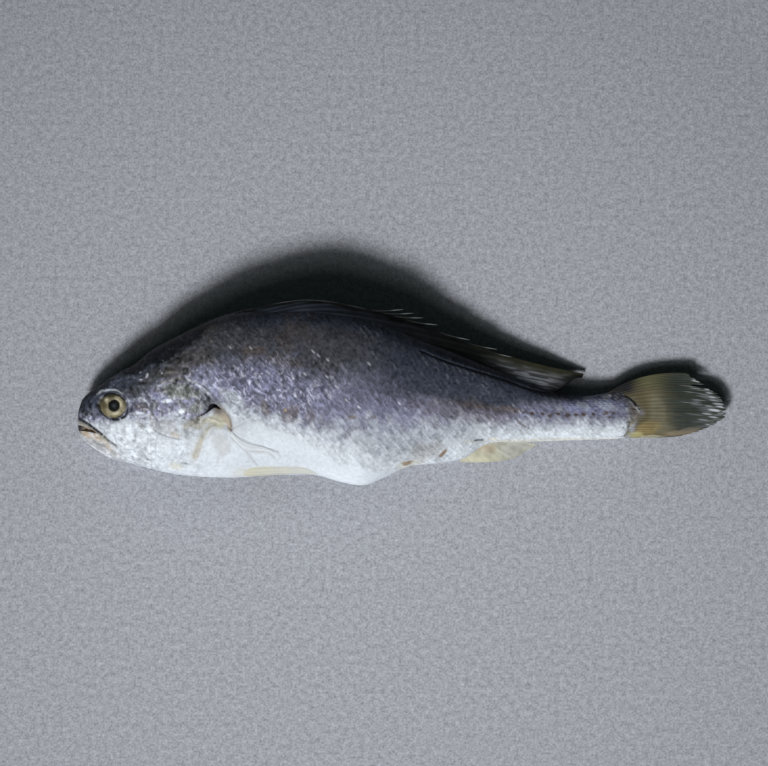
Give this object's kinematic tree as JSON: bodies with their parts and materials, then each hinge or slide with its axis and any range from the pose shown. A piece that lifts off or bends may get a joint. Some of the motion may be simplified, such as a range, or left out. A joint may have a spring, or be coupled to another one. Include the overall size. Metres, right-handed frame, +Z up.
{
  "type": "semi-dried yellow croaker",
  "caption": "Whole semi-dried fish lying on its side, with silvery scaled flanks, a dark back, folded fins, a golden eye and a closed tail fin.",
  "frame": {"origin": "on the ground under the middle of the fish, at the centre of its bounding box in X and Y", "axes": "+X from the snout to the tail fin, +Y from the belly to the back, +Z up through the left flank that shows"},
  "size_m": [0.2798, 0.0792, 0.0389],
  "materials": {
    "skin": "moist silvery fish skin with fine scales, dark slate back and white belly",
    "eye": "wet golden iris round a black pupil"
  },
  "bodies": {
    "root": {"croaker": "skin", "eye_left": "eye", "eye_right": "eye"}
  },
  "joints": []
}
